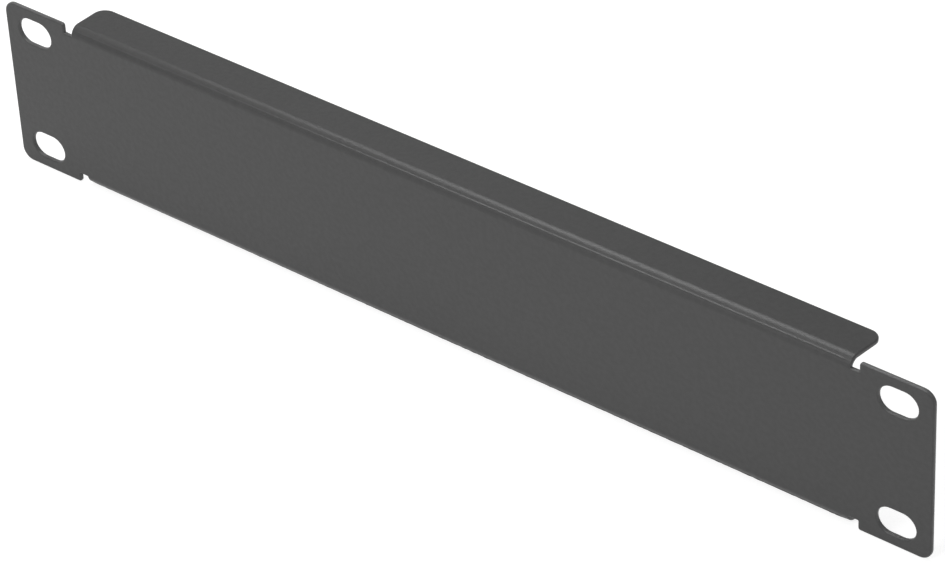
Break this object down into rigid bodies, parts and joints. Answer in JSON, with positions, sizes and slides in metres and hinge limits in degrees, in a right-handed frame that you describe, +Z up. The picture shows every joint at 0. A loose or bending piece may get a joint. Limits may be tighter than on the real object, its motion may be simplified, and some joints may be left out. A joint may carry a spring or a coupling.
{
  "type": "rack blanking panel",
  "caption": "Flat steel panel, folded back along its top and bottom edges, with slotted ears that screw to the rails of a small equipment rack and close an unused space.",
  "frame": {"origin": "middle of the four slots, on the rear face of the ears", "axes": "+X along the panel, to the right seen from the front; +Y to the rear, into the rack; +Z up"},
  "size_m": [0.254, 0.0119, 0.044],
  "materials": {
    "powder_coat": "fine-textured satin powder coat, dark grey"
  },
  "bodies": {
    "root": {"blanking_panel": "powder_coat"}
  },
  "joints": []
}
